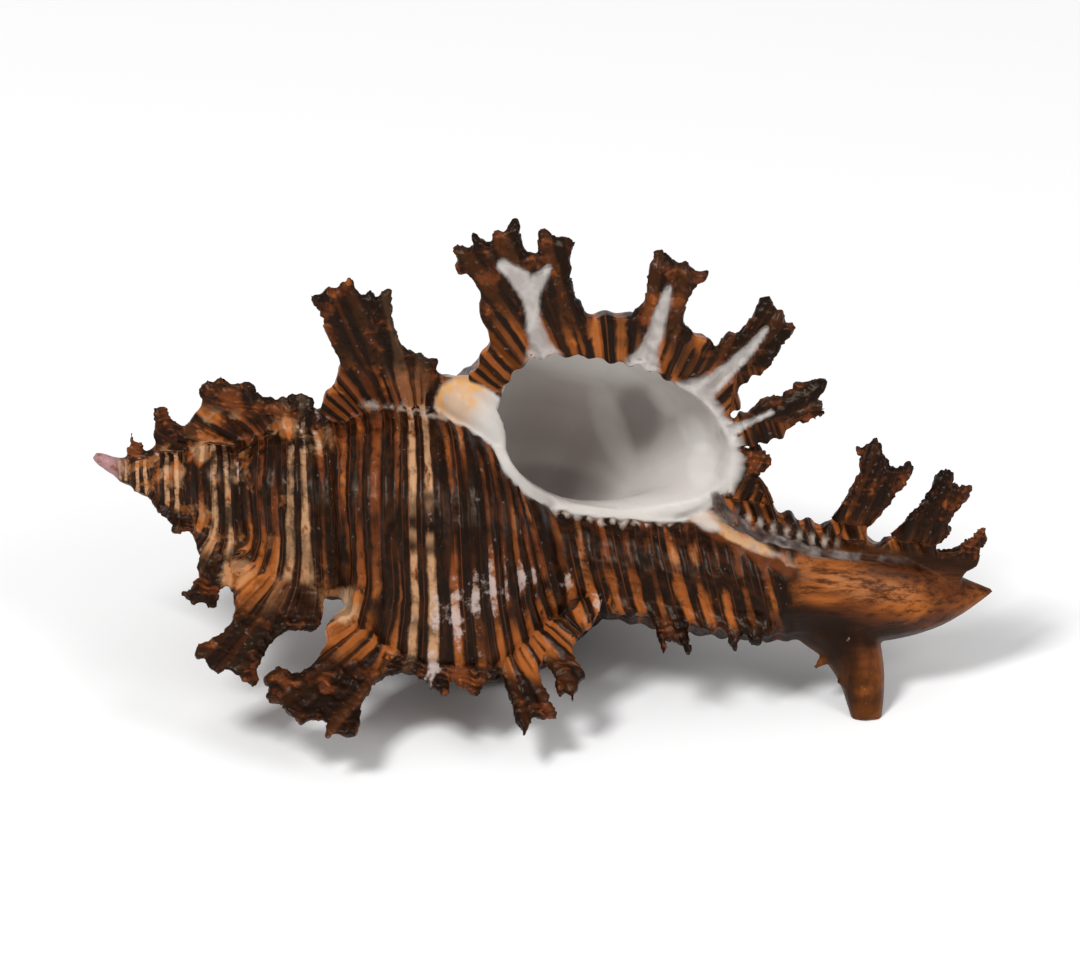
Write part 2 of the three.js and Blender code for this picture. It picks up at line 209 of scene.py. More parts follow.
CANAL_FRONDS = {
    "sawtooth_edge": (0.6, 6, [
        (62, 10), (64.8, 12.5), (65.8, 11.3), (66.6, 11.1), (66.2, 10.5), (65.7, 9.6), (64.6, 9.5),
        (64.7, 8), (65.6, 7.1), (66, 6.4), (67.3, 5.7), (67.7, 5.1), (69.1, 5.2), (69.8, 4.5),
        (70.9, 4.6), (72.2, 4.3), (72.7, 4.4), (72, 1), (64, 3),
    ]),
    "canal_first": (2.4, 5, [
        (73, 1.5), (72.6, 4.2), (73.6, 6.3), (75, 9.6), (75.3, 10.8), (75, 12.2), (74.4, 12.8),
        (75.5, 12.9), (76.1, 14), (77, 13.3), (77.1, 12.3), (78, 12.3), (77.9, 11.4), (78.9, 11.4),
        (80, 12.1), (80.6, 11.9), (80, 10.5), (78.1, 7.5), (76.9, 5), (77.1, 3.9), (77, 1.5),
    ]),
    "canal_second": (2, 4, [
        (79, 1.5), (78.6, 3.5), (80.3, 6), (82, 8.6), (82.6, 9.8), (82.5, 10.9), (82.9, 11.4),
        (83.7, 11.8), (84.3, 11.4), (84.4, 10.3), (86.4, 10.5), (86.1, 9.4), (85, 7.7), (84.4, 6.4),
        (85.1, 5.7), (84.3, 5.2), (83.9, 3.9), (84, 1),
    ]),
    "canal_third": (1.2, 3, [
        (84, 0.5), (84, 3), (85.5, 3.6), (87.1, 5), (88.1, 6.5), (88.7, 5.3), (88, 4.4), (88.2, 2.7),
        (87.1, 1.8), (86.7, 0.7), (86.5, -1),
    ]),
}
FRONT_FRONDS = {
    "front_shoulder": (3.6, 20, [
        (37, 16), (34.8, 20.2), (34.8, 22.7), (34.4, 24.5), (33.2, 27.4), (31.4, 28.4), (28.7, 27.9),
        (27.2, 30.2), (28.4, 31.4), (27.9, 33.1), (29.8, 33.9), (31.4, 35.4), (33.1, 37.1),
        (34.5, 35.6), (35.9, 35.8), (36.8, 36.2), (36.6, 38.6), (37.9, 37.9), (40.7, 37.9),
        (40.8, 35.8), (40.8, 32.1), (42.1, 28), (44, 25.8), (44, 20),
    ]),
    "front_edge": (1.6, 21, [
        (43, 18), (42.6, 27.7), (43.9, 26.1), (45.9, 25.8), (48, 26), (49.9, 27.5), (51.7, 28.9),
        (52.1, 26), (52.9, 25.8), (54.1, 27.1), (56.4, 28.4), (56.4, 25.9), (58.7, 24.4), (58.7, 19),
    ]),
    "front_outer": (2.6, 20, [
        (59, 19), (59, 24.3), (59.8, 26.5), (60.7, 28.4), (61.5, 31.6), (62.4, 32), (63, 33.9),
        (63.6, 31.2), (64.1, 29.8), (65.6, 30.2), (67, 29.7), (65.6, 27), (63.8, 22.8), (63.4, 21.2),
        (64.2, 20.6), (64, 17),
    ]),
    "front_lower": (2.2, 17, [
        (64, 16), (64.2, 20.8), (65, 21.9), (66.2, 23.8), (66.8, 26.2), (68.1, 25.3), (69, 28.1),
        (69, 25.3), (70, 22.1), (68.7, 20.5), (67.8, 18.5), (68.1, 16.8), (69.1, 15.4), (70.9, 12.3),
        (70, 9),
    ]),
    "front_spines": (1.4, 9.5, [
        (72, 6), (72.2, 11.8), (77.7, 11.7), (78.6, 13.3), (79.2, 15.6), (80.1, 18), (80.2, 15.4),
        (81.2, 14.7), (83.8, 17.2), (83, 13.4), (82.7, 11.5), (84.7, 12), (86, 13.4), (86.5, 11.9),
        (87.9, 11.9), (88.6, 13.8), (89.8, 15.3), (89.7, 12.9), (91, 12), (91.7, 13.7), (92.7, 14.2),
        (92.8, 12.6), (94.1, 11.9), (94, 5),
    ]),
}
SPIRE_FRONDS = {
    3: (3.6, 21, [
        (38, 14), (34.5, 16.1), (35.3, 18.1), (37, 22.5), (36.7, 24.7), (34.2, 28.7), (33.3, 31.3),
        (31.5, 33.6), (30.5, 34.6), (32.8, 35), (33.1, 36.5), (34.7, 36.1), (35.3, 37.1), (36.8, 38.1),
        (38.5, 35.8), (39.6, 35.5), (39.7, 36.4), (41.4, 35.7), (42, 36.8), (43.4, 37), (43.8, 32.5),
        (45.2, 29.8), (47.6, 27.5), (49.6, 27.5), (50.2, 26.8), (52.1, 27.1), (50, 20),
    ]),
    5: (5, 21, [
        (36, 15), (32.5, 15), (33, 21), (34.3, 26.2), (35.4, 30.8), (35, 35.2), (32.7, 39.3),
        (30.1, 41.7), (28, 42.3), (28.4, 45.1), (30.9, 46.6), (31.6, 48.1), (34, 49.4), (35.8, 47.7),
        (37.8, 48.5), (39.3, 50.2), (41.9, 52), (42.8, 49.9), (42.1, 46.8), (44.3, 38.6), (46.2, 35.3),
        (50, 34), (52.2, 34.1), (54.3, 33), (54, 20),
    ]),
    6: (3, 19, [
        (26, 10), (20.5, 10), (21, 13.6), (22.6, 14.9), (24.6, 19), (25.8, 21.9), (24.1, 24.2),
        (25.8, 28), (27.6, 27.1), (29.6, 29), (32.4, 27.4), (35.9, 28.5), (37.8, 28.1), (39.2, 25.5),
        (42.5, 25.2), (44.9, 25.5), (47.1, 27), (51.1, 27.5), (53.8, 26.3), (50, 18), (36, 12),
    ]),
    8: (5, 20, [
        (39, 14), (38.2, 22.4), (41.5, 31), (42.3, 38.8), (40.3, 44.6), (36.9, 48.4), (42.4, 52.8),
        (45.3, 50), (46.9, 53.1), (50.1, 51.9), (50.1, 44.6), (52.5, 41.7), (54.9, 43.7), (57.5, 31),
        (59, 19),
    ]),
    9: (3, 15, [
        (26, 10), (22.6, 17.9), (23.4, 21.6), (21.8, 28.6), (27.7, 29.8), (28.3, 25.7), (34.3, 23.2),
        (36.4, 22.1), (36, 15),
    ]),
    11: (3, 19, [
        (28, 8), (25.3, 11.1), (33.8, 16.3), (40.6, 25.3), (47.7, 31.5), (48, 38), (54.7, 37.6),
        (58.6, 33.3), (61.2, 38), (60, 18), (38, 12),
    ]),
    12: (3, 10, [(24, 8), (20.3, 12.8), (21.8, 17.6), (22.5, 27.4), (26.7, 19.5), (30.7, 21.2), (32, 12)]),
}
FROND_THICKNESS = 1.7
FROND_FRONT = 0.25
BEND_STATIONS = 9


def frond(name, varix, curl, root, outline, reach=1):
    """A blade cut from its outline, given its thickness, then bent back towards its tip."""
    degrees = -varix * VARIX_STEP
    outline = [(s, root + (r - root) * reach if r > root else r) for s, r in outline]
    low = min(r for s, r in outline)
    high = max(r for s, r in outline)
    thickness = FROND_THICKNESS / spiral_scale(degrees) ** 0.45
    bpy.ops.object.select_all(action="DESELECT")
    bpy.ops.mesh.primitive_circle_add(vertices=len(outline), fill_type="NGON")
    piece = bpy.context.object
    piece.name = name
    for vertex, (s, r) in zip(piece.data.vertices, outline):
        vertex.co = (s, r, FROND_FRONT)
    bpy.ops.object.mode_set(mode="EDIT")
    bpy.ops.mesh.select_all(action="SELECT")
    bpy.ops.mesh.extrude_region_move(TRANSFORM_OT_translate={"value": (0, 0, -thickness)})
    for station in range(1, BEND_STATIONS):
        bpy.ops.mesh.select_all(action="SELECT")
        height = low + (high - low) * station / BEND_STATIONS
        bpy.ops.mesh.bisect(plane_co=(0, height, 0), plane_no=(0, 1, 0))
    bpy.ops.mesh.select_all(action="SELECT")
    bpy.ops.mesh.normals_make_consistent(inside=False)
    bpy.ops.object.mode_set(mode="OBJECT")
    for vertex in piece.data.vertices:
        s, r, forward = vertex.co
        up = max(0, (r - root) / (high - root))
        thinned = FROND_FRONT + (forward - FROND_FRONT) * (1 - 0.4 * up)
        vertex.co = on_spiral(s, r, degrees, thinned - curl * up * up)
    return piece


fronds = []
for name, (curl, root, outline) in {**LIP_FRONDS, **CANAL_FRONDS}.items():
    fronds.append((frond(name, 0, curl, root, outline), 0, root))
for name, (curl, root, outline) in LIP_FRONDS.items():
    fronds.append((frond("back_" + name, 1, curl, root, outline, reach=1.12), 1, root))
for name, (curl, root, outline) in FRONT_FRONDS.items():
    fronds.append((frond(name, 2, curl, root, outline), 2, root))
for varix, (curl, root, outline) in SPIRE_FRONDS.items():
    fronds.append((frond("spire_" + str(varix), varix, curl, root, outline), varix, root))
for varix, like in {4: 3, 7: 6, 10: 9}.items():
    curl, root, outline = SPIRE_FRONDS[like]
    fronds.append((frond("spire_" + str(varix), varix, curl, root, outline), varix, root))


# The aperture. The mouth is a round opening with a white porcelain rim; on the inner side the rim
# spreads over the body as a callus, with a swollen knob at its upper end and a fold by the canal.
APERTURE_RIM = [
    (39.2, 11.2), (39.3, 13.4), (39.7, 15.4), (40.4, 16.9), (41.6, 18.4), (43.4, 19.2), (45.7, 19.6),
    (47.9, 19.6), (50, 19.4), (52.3, 19.4), (54.5, 18.7), (56.1, 17.8), (57.7, 17.1), (58.9, 16.3),
    (60.3, 14.9), (61.4, 12.9), (62.1, 11.2), (62.2, 9.8), (61.9, 8.2), (61.1, 6.8), (59.8, 5.8),
    (58.1, 5.1), (55.3, 4.1), (52.9, 3.6), (50.4, 3.3), (47.7, 3.4), (45.6, 3.9), (43.8, 4.7),
    (42.1, 5.8), (40.8, 7.1), (39.9, 8.7),
]
CHAMBER_DEPTH = 225
CHAMBER_TAPER = 0.76
CHAMBER_FLOOR = (50.3, 5)
CHAMBER_STOPS = [
    -0.02, -0.01, -0.003, 0.004, 0.015, 0.03, 0.06, 0.1, 0.16, 0.23, 0.3, 0.38, 0.46, 0.55, 0.65, 0.75,
    0.84, 0.91, 0.96, 0.99, 1,
]
CALLUS_WALL_DEPTHS = (1.3, 2.6, 3.9, 5.2)


def surface_of(piece):
    bpy.context.view_layer.update()
    return BVHTree.FromObject(piece, bpy.context.evaluated_depsgraph_get())


chamber_floor = np.array(CHAMBER_FLOOR)
chamber_rings = []
for share in CHAMBER_STOPS:
    size = 1 + (CHAMBER_TAPER - 1) * ease(share / 0.42)
    size *= math.sqrt(max(0.02, 1 - max(0, (share - 0.8) / 0.2) ** 2))
    flare = 0.06 * max(0, 1 - (share + 0.02) / 0.05) ** 2
    ring = []
    for s, r in APERTURE_RIM:
        grow = size * (1 + flare * ease((r - 5) / 6))
        place = chamber_floor + (np.array((s, r)) - chamber_floor) * grow
        ring.append(on_spiral(*place, -share * CHAMBER_DEPTH))
    chamber_rings.append(ring)
chamber = skin("chamber", chamber_rings)

whorl_surface = surface_of(whorls)
neck_surface = surface_of(neck)
canal_surface = surface_of(canal)


def laid(path, sink):
    """A path of [x, y, radius] laid on the shell's front, sunk into it by a share of its radius."""
    fronts = (whorl_surface, neck_surface, canal_surface)
    sections = []
    for x, y, radius in path:
        hits = [tree.ray_cast((x, y, 40), (0, 0, -1))[0] for tree in fronts]
        height = max(hit.z for hit in hits if hit is not None)
        sections.append((x, y, height - sink * radius, radius))
    return sections


callus_path = laid([
    (36.1, 11.6, 1.3), (37.6, 9.7, 1.4), (38.8, 8, 1.1), (40.1, 5.9, 0.85), (41.7, 4.4, 0.75),
    (43.5, 3.3, 0.7), (46, 2.5, 0.7), (49, 2.2, 0.75), (52.4, 2.3, 0.8), (55.8, 2.9, 0.8),
    (58.8, 3.9, 0.7), (60.6, 4.9, 0.3),
], 0.4)
callus = tube("callus", callus_path)
callus_wall = []
for depth in CALLUS_WALL_DEPTHS:
    deeper = [(x, y, z - depth, radius) for x, y, z, radius in callus_path[2:8]]
    callus_wall.append(tube("callus_wall", deeper))
knob = tube("knob", [
    (33.4, 12.2, 5.2, 1.3), (34.5, 11.9, 5.6, 2.3), (36, 11.3, 6, 2.7), (37.6, 10.1, 6.2, 2.3),
    (38.8, 8.7, 6.2, 1.5), (39.8, 7.2, 6, 0.7),
])
canal_fold = tube("canal_fold", laid([
    (59, 3.2, 0.3), (60.1, 3.2, 0.75), (61.5, 2.6, 0.8), (63.6, 1.5, 0.7), (66.7, 0.4, 0.45),
    (69.6, -0.6, 0.15),
], 0.6))
slit = tube("slit", laid([
    (61.4, 5.8, 0.3), (62, 4.7, 0.55), (62.8, 3.7, 0.6), (64.4, 2.8, 0.6), (67.5, 1.9, 0.5),
    (72.6, 1.3, 0.42), (77.5, 1.6, 0.36), (81.5, 1.7, 0.3), (84, 1.7, 0.2),
], 0.2))


# The grown shell. Everything above is one piece of lime, so the parts are joined and fused into one
# skin, the mouth and the canal's slit are cut into it, and the skin is smoothed where they meet.
VOXEL = 0.25


def apply_modifier(piece, kind, **settings):
    modifier = piece.modifiers.new(kind.lower(), kind)
    for setting, value in settings.items():
        setattr(modifier, setting, value)
    bpy.ops.object.select_all(action="DESELECT")
    piece.select_set(True)
    bpy.context.view_layer.objects.active = piece
    bpy.ops.object.modifier_apply(modifier=modifier.name)


chamber_surface = surface_of(chamber)
slit_surface = surface_of(slit)
white_surfaces = [(surface_of(callus), 0.8), (surface_of(knob), 0.6)]
white_surfaces += [(surface_of(piece), 0.8) for piece in callus_wall]
knob_surface = surface_of(knob)
fold_surface = surface_of(canal_fold)
frond_places = []
frond_polygons = []
frond_faces = []
frond_table = []
for index, (piece, varix, root) in enumerate(fronds):
    first = len(frond_places)
    frond_polygons += [[first + corner for corner in face.vertices] for face in piece.data.polygons]
    frond_places += [vertex.co.copy() for vertex in piece.data.vertices]
    frond_faces += [index] * len(piece.data.polygons)
    reach = max(math.hypot(vertex.co.y, vertex.co.z) for vertex in piece.data.vertices)
    frond_table.append((varix, root, reach / spiral_scale(-varix * VARIX_STEP)))
frond_surface = BVHTree.FromPolygons(frond_places, frond_polygons)
frond_faces = np.array(frond_faces)
frond_table = np.array(frond_table)

bpy.ops.object.select_all(action="DESELECT")
fused = [whorls, neck, canal, old_canal, first_whorls, callus, knob, canal_fold]
fused += callus_wall + old_canal_spines + [piece for piece, varix, root in fronds]
for piece in fused:
    piece.select_set(True)
bpy.context.view_layer.objects.active = whorls
bpy.ops.object.join()
shell = whorls
shell.name = "murex_shell"

apply_modifier(shell, "REMESH", mode="VOXEL", voxel_size=VOXEL)
apply_modifier(shell, "BOOLEAN", operation="DIFFERENCE", object=chamber, solver="EXACT")
apply_modifier(shell, "BOOLEAN", operation="DIFFERENCE", object=slit, solver="EXACT")
apply_modifier(shell, "REMESH", mode="VOXEL", voxel_size=VOXEL)
apply_modifier(shell, "SMOOTH", factor=0.5, iterations=2)
for cutter in (chamber, slit):
    bpy.data.objects.remove(cutter)


# The sculpture. Spiral cords run round every turn and out along the blades; the blades are scaly
# where each pause in growth left an edge, and a few worn knobs stand between the varices.
CORD_PITCH = 8
CORD_CROWDING = 0.6
PALE_PAIR = (100.8, 14)
NECK_START = (32, 42.3)
RIB_GLOW = 40
OUTLINE_MIDDLE = (52, 6)
NECK_PITCH = 2.3
NECK_LEAN = (0.5, 0.37)
CORD_HEIGHT = 0.38
RIB_HEIGHT = 0.3
SCALE_HEIGHT = 0.2
ROUGHNESS_HEIGHT = 0.16
GROOVE_DEPTH = 0.5
SUTURE_SIZE = math.hypot(*WHORL_OUTLINE[0][:2])
LIP_OVERHANG = 8
NEAR = 1.5
FLANGE_PITCH = 1.7
BLADE_PITCH = 1.4
TOOTH_PITCH = 1.6
CALLUS_BEAD_PITCH = 1.15
LINE_BEAD_PITCH = 0.9
FLANGE_BEAD_PITCH = 1.3
LAMELLAE = 7
TRIANGLES = 190000

# [x, y, half width] seen along +Z: the pale troughs from the mouth out along the lip's blades.
GROOVES = [
    [
        (43.4, 15, 3), (42.2, 17.9, 1.3), (41.2, 20.5, 0.8), (40.7, 22.4, 0.9), (39.5, 23.9, 1.2),
        (37.6, 25, 0.7),
    ],
    [(40.7, 22.4, 0.9), (41.2, 24.1, 0.9), (42, 25.4, 0.4)],
    [(52.4, 16, 2.6), (52.9, 18.7, 1.2), (53.4, 21, 0.9), (53.7, 23, 0.8), (54, 25.1, 0.4)],
    [(57.5, 14.2, 2.6), (59.3, 16.2, 1.3), (61.2, 18.3, 0.8), (63, 20.7, 0.6), (64, 22.5, 0.3)],
    [(61.3, 11.5, 1), (63.4, 13, 0.4), (65.7, 14.5, 0.3)],
]
# [x, y, radius, height, how orange] of the worn and pale places on the front.
PALE_PLACES = [
    (21.6, 5.8, 2.2, 0.5, 0.45), (37.3, -9.8, 2.7, 0.2, 0), (39, -8, 2.2, 0.2, 0),
    (40.8, -6.2, 2.4, 0.2, 0), (43.6, -5.2, 1.7, 0.2, 0), (36.6, -15, 1.6, 0.1, 0),
    (48, -5.2, 1, 0.2, 0), (51.6, -6.2, 1, 0.2, 0), (14.6, 1.2, 1.8, 0.3, 0.45),
    (26.5, -10, 1.7, 0, 1), (16, -8.7, 1.5, 0, 0.9), (10.6, 2.6, 1.3, 0.2, 0.6),
    (8.2, 0.4, 1.4, 0.2, 0.7), (5.6, 1.6, 1.2, 0, 0.3), (18.6, 6.3, 1.2, 0.2, 0.8),
]
# [x, y] seen along +Z: the canal's slit, and the crest of the fold beside it.
SLIT_LINE = [(60, 5.5), (62, 4.2), (64, 2.9), (68, 1.9), (73, 1.3), (78, 1.6), (84, 1.7)]
FOLD_LINE = [(59, 3.2), (61.5, 2.6), (63.6, 1.5), (66.7, 0.4), (69.6, -0.6)]
# [x, y, half width] seen along +Z: the beaded line where the last whorl meets the old lip above it.
BEADED_LINE = [(25.7, 9.6, 0.4), (28.8, 10, 0.4), (31, 9.6, 0.4), (33.4, 9.6, 0.4), (34.6, 9.4, 0.4)]


def smooth(low, high, value):
    share = np.clip((value - low) / (high - low), 0, 1)
    return share * share * (3 - 2 * share)


def nearness(tree, places, reach):
    """How far each place is from a surface, no farther than reach, and the surface's face there."""
    hits = [tree.find_nearest(place, reach) for place in places]
    far = np.array([reach if hit[0] is None else hit[3] for hit in hits])
    face = np.array([-1 if hit[0] is None else hit[2] for hit in hits])
    return far, face


def along_lines(places, lines):
    """Distance, seen along +Z, to the nearest of the lines, in half widths of the line there."""
    nearest = np.full(len(places), 1e3)
    for line in lines:
        for start, end in zip(line, line[1:]):
            run = np.subtract(end[:2], start[:2])
            share = np.clip((places[:, :2] - start[:2]) @ run / (run @ run), 0, 1)
            gap = places[:, :2] - start[:2] - share[:, None] * run
            nearest = np.minimum(nearest, np.hypot(*gap.T) / (start[2] + (end[2] - start[2]) * share))
    return nearest


def survey(mesh):
    """What grows at each vertex, its place on the spiral and features, and where shade is painted."""
    places = np.empty(len(mesh.vertices) * 3, dtype=np.float32)
    normals = np.empty(len(mesh.vertices) * 3, dtype=np.float32)
    mesh.vertices.foreach_get("co", places)
    mesh.vertices.foreach_get("normal", normals)
    places = places.reshape(-1, 3).astype(float)
    normals = normals.reshape(-1, 3).astype(float)
    spots = [Vector(place) for place in places]
    x, y, z = places.T
    out = np.hypot(y, z)
    bearing = np.degrees(np.arctan2(z, y)) - LIP_ANGLE
    turn = (bearing - LIP_OVERHANG) % 360 - 360 + LIP_OVERHANG
    size = np.log(np.hypot(x, out) / SUTURE_SIZE) / math.log(WHORL_GROWTH)
    degrees = turn + 360 * np.minimum(0, np.floor(size - turn / 360))
    from_suture = np.abs((size - turn / 360 + 0.5) % 1 - 0.5)

    gap, face = nearness(frond_surface, spots, 0.7)
    which = np.where(face >= 0, frond_faces[face], -1)
    varix, root, high = frond_table[which].T
    from_varix = (bearing + varix * VARIX_STEP + 180) % 360 - 180
    own = -varix * VARIX_STEP + from_varix
    own_out = out / WHORL_GROWTH ** (own / 360)
    up = np.where(which >= 0, np.clip((own_out - root) / (high - root), 0, 1), 0)
    leaf = np.where(which >= 0, smooth(0.02, 0.5, up), 0) * smooth(0.7, 0.35, gap)
    degrees = np.where((leaf > 0.02) | ((gap < 0.4) & (np.abs(from_varix) < 6)), own, degrees)
    scale = WHORL_GROWTH ** (degrees / 360)
    fan = np.degrees(np.arctan2(out / scale - OUTLINE_MIDDLE[1], x / scale - OUTLINE_MIDDLE[0]))
    pitch = CORD_PITCH / scale ** CORD_CROWDING
    round_whorl = PALE_PAIR[1] + (fan - PALE_PAIR[0]) / pitch
    down_neck = PALE_PAIR[1] + (NECK_START[0] - PALE_PAIR[0]) / pitch
    facing = smooth(-6, -3, z)
    slanted = x + NECK_LEAN[0] * y - NECK_START[1]
    wound = x / scale ** NECK_LEAN[1] - 62
    down_neck -= (slanted * facing + wound * (1 - facing)) / NECK_PITCH
    on_neck = smooth(34, 28, fan) * (1 - leaf * (root > 10))
    # Painted shade in the band where the neck meets the whorl.
    whorl_join_shade = np.exp(-((fan - 31) / 3.5) ** 2) * (1 - leaf) * smooth(69, 66, x)
    cord = round_whorl * (1 - on_neck) + down_neck * on_neck
    slit_line = np.interp(x, *zip(*SLIT_LINE))
    flange = smooth(-0.2, 0.3, y - slit_line) * smooth(61, 63, x) * smooth(75, 73, x) * smooth(0, 1.5, z)
    cord = np.where((flange > 0.3) & (leaf < 0.3), (x + 0.5 * y) / FLANGE_PITCH, cord)
    cord = np.where((leaf > 0.02) & (root < 8), (x - 0.38 * out) / scale / BLADE_PITCH, cord)
    web = ((gap < 0.4) & (np.abs(from_varix) < 6) & (root > 8)) * (1 - leaf) * smooth(0.2, 0.5, scale)
    ridge = 0.5 + 0.5 * np.cos(2 * np.pi * cord)

    rough = np.array([noise.noise(spot * 0.8) + 0.5 * noise.noise(spot * 1.9) for spot in spots])
    from_chamber, face = nearness(chamber_surface, spots, 2.6)
    teeth = 0.1 + (0.55 + 0.2 * np.cos(2 * np.pi * y / TOOTH_PITCH)) * smooth(56, 60, x) + 0.08 * rough
    wall = smooth(0.45, 0.2, from_chamber)
    outer_lip = smooth(9, 11, y) * smooth(58, 55, x)
    inside = wall * (1 - outer_lip * smooth(-2.6, -1, (bearing + 180) % 360 - 180))
    white = smooth(teeth + 0.35, teeth, from_chamber) * smooth(-70, -30, np.where(wall > 0.5, 0, degrees))
    white *= 1 - outer_lip
    near_mouth = smooth(1.9, 1.1, from_chamber) * smooth(55, 58, x)
    for tree, reach in white_surfaces:
        from_white = nearness(tree, spots, NEAR)[0] + 0.2 * rough
        white = np.maximum(white, smooth(reach, reach * 0.4, from_white))
    fold = smooth(0.9, 0.3, nearness(fold_surface, spots, NEAR)[0] + 0.2 * rough)
    slit_gap = nearness(slit_surface, spots, NEAR)[0]
    groove = smooth(1.05, 0.6, along_lines(places, GROOVES) + 0.18 * rough)
    groove *= smooth(0, 0.4, normals[:, 2]) * smooth(3, 6, z + 0.35 * np.maximum(0, x - 60))
    smooth_tube = smooth(69.3, 70.6, x + 0.1 * y + 0.5 * rough) * (1 - leaf) * (1 - flange)
    smooth_tube *= smooth(1.8, 0.7, y - slit_line)
    worn = np.zeros(len(places))
    knobs = np.zeros(len(places))
    orange = np.zeros(len(places))
    for across, above, radius, height, share in PALE_PLACES:
        blob = np.exp(-((x - across) ** 2 + (y - above) ** 2) / radius ** 2) * smooth(0, 2, z)
        worn = np.maximum(worn, blob * (1 - share))
        orange = np.maximum(orange, blob * share)
        knobs = np.maximum(knobs, blob * height)
    from_callus = nearness(white_surfaces[0][0], spots, 1.8)[0]
    beads = smooth(0.45, 0.6, from_callus) * smooth(1.25, 1.05, from_callus)
    beads *= smooth(45, 47, x) * smooth(59, 57, x)
    beads *= smooth(-0.2, 0.5, np.cos(2 * np.pi * x / CALLUS_BEAD_PITCH)) * smooth(2.6, 1.8, y)
    line_beads = smooth(1.1, 0.6, along_lines(places, [BEADED_LINE])) * smooth(0, 2, z)
    line_beads *= smooth(-0.1, 0.3, rough + 0.15 * np.cos(2 * np.pi * x / LINE_BEAD_PITCH))
    beads = np.maximum(beads, 0.6 * line_beads)
    rise = np.clip(1 - (-degrees % VARIX_STEP) / RIB_GLOW, 0, 1)
    flange_beads = np.exp(-((y - slit_line - 1.2) / 0.45) ** 2)
    flange_beads *= smooth(0.1, 0.6, np.cos(2 * np.pi * x / FLANGE_BEAD_PITCH))
    beads = np.maximum(beads, 0.75 * flange_beads * flange * smooth(63, 65, x))
    fold_line = np.interp(x, *zip(*FOLD_LINE))
    # Painted shade: dark bands where the neck meets the canal and the whorl, and along the neck's
    # underside.
    canal_join_shade = np.exp(-((x - 69.8 + 0.5 * rough) / 0.8) ** 2) * smooth(1, 0, y - slit_line)
    canal_join_shade = np.maximum(canal_join_shade, whorl_join_shade)
    underside_shade = smooth(-3, -5.5, y + 0.3 * (x - 66)) * smooth(64, 68, x) * smooth(71, 70, x)
    canal_join_shade = np.maximum(canal_join_shade, underside_shade)
    from_knob = nearness(knob_surface, spots, NEAR)[0]
    amber = smooth(0.8, 0.2, from_knob) * smooth(39, 35.5, x - 0.4 * (y - 11))
    # Where the mouth's porcelain stays white; the rest of it is painted grey as shade.
    unshaded_rim = np.maximum(smooth(56, 60, x) * smooth(14, 12, y), smooth(0.9, 0.3, from_callus))
    unshaded_rim = np.maximum(unshaded_rim, smooth(0.9, 0.3, from_knob))
    return {
        "places": places,
        "normals": normals,
        "rough": rough,
        "scale": scale,
        "ridge": ridge,
        "up": up,
        "near_mouth": near_mouth,
        "knobs": knobs,
        "cord": cord,
        "growth": degrees / 10,
        "leaf": leaf,
        "blade": np.where(varix % 3 == 2, leaf ** 1.6, leaf ** 0.4),
        "lamella": up * LAMELLAE + 0.8 * rough,
        "web": web,
        "rise": rise,
        "suture": smooth(0.07, 0.03, from_suture) * (1 - leaf) * (x < 60),
        "inside": inside,
        "white": np.clip(white, 0, 1),
        "unshaded_rim": unshaded_rim,
        "amber": amber,
        "beads": beads,
        "fold": fold,
        "fold_top": smooth(-0.6, 0.5, y - fold_line + 0.3 * rough),
        "far_end": smooth(64, 69, x),
        "groove": groove,
        "slit": smooth(0.32, 0.05, slit_gap),
        "tube": smooth_tube,
        "old": smooth(-5, -9, y + 0.8 * rough) * smooth(69, 72, x),
        "middle": -y / 5,
        "edge": canal_join_shade,
        "worn": worn,
        "orange": orange,
        "tip": smooth(3.6, 2, x + 0.5 * rough),
    }


grown = survey(shell.data)
plain = np.clip(1 - grown["white"] - grown["inside"] - grown["fold"] - grown["near_mouth"], 0, 1)
corded = plain * (1 - grown["leaf"]) * (1 - grown["tube"]) * smooth(0.2, 0.5, grown["scale"])
relief = CORD_HEIGHT * grown["scale"] ** 0.7 * (grown["ridge"] - 0.5) * corded
lamella = grown["lamella"] % 1
leafy = grown["leaf"] * (1 - grown["groove"]) * (1 - grown["near_mouth"])
rib = np.cos(2 * np.pi * (2 * grown["cord"] + 0.3 * grown["rough"]))
relief += leafy * SCALE_HEIGHT * (lamella - 0.5) + leafy * ROUGHNESS_HEIGHT * grown["rough"]
relief += leafy * RIB_HEIGHT * 0.5 * rib * grown["scale"] ** 0.5
relief -= GROOVE_DEPTH * grown["groove"] * (1 - grown["inside"])
relief += 0.12 * corded * grown["rough"] + grown["knobs"] * corded
moved = grown["places"] + grown["normals"] * relief[:, None]
shell.data.vertices.foreach_set("co", moved.astype(np.float32).ravel())
shell.data.update()
triangles = sum(len(face.vertices) - 2 for face in shell.data.polygons)
apply_modifier(shell, "DECIMATE", ratio=TRIANGLES / triangles)
grown = survey(shell.data)
for marking in (
    "cord", "growth", "leaf", "blade", "lamella", "web", "rise", "suture", "inside", "white", "unshaded_rim",
    "amber", "beads", "fold", "fold_top", "far_end", "groove", "slit", "tube", "old", "middle", "edge",
    "worn", "orange", "tip",
):
    layer = shell.data.attributes.new(marking, "FLOAT", "POINT")
    layer.data.foreach_set("value", grown[marking].astype(np.float32))


